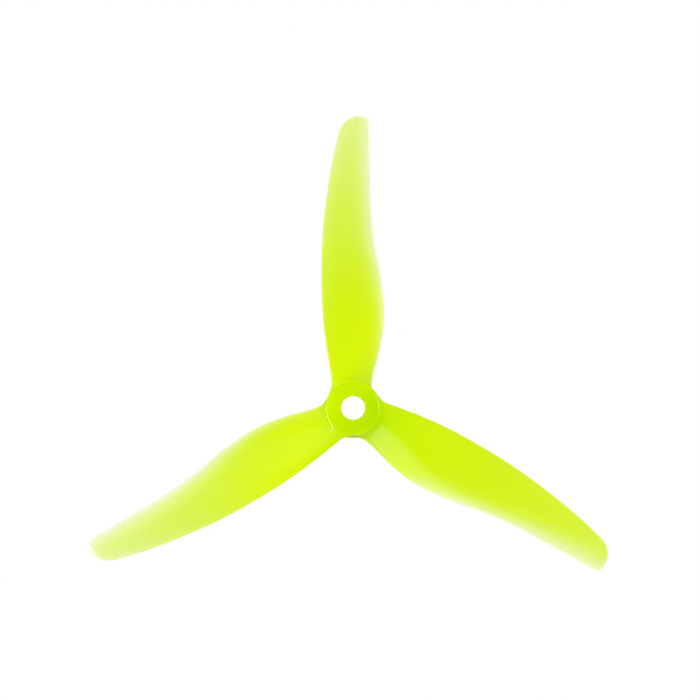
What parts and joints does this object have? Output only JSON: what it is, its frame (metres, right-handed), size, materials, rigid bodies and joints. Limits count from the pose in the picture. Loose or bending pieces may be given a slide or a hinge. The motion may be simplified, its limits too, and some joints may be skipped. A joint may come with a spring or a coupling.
{
  "type": "propeller",
  "caption": "Fixed-pitch drone propeller: swept, twisted aerofoil blades around a short round hub with a plain shaft bore, in translucent neon lime plastic.",
  "frame": {"origin": "on the bore axis, at half the hub's height, which is also the propeller's centre of mass to within half a millimetre", "axes": "+Z along the bore axis, out of the face that takes the nut, which is the way the propeller pushes; +Y along blade_1; the propeller turns counter-clockwise as seen from +Z"},
  "size_m": [0.1127, 0.0989, 0.0069],
  "materials": {
    "hub_plastic": "gloss, neon lime",
    "blade_plastic": "gloss, translucent neon lime"
  },
  "bodies": {
    "root": {"hub": "hub_plastic", "blade_1": "blade_plastic", "blade_2": "blade_plastic", "blade_3": "blade_plastic"}
  },
  "joints": []
}
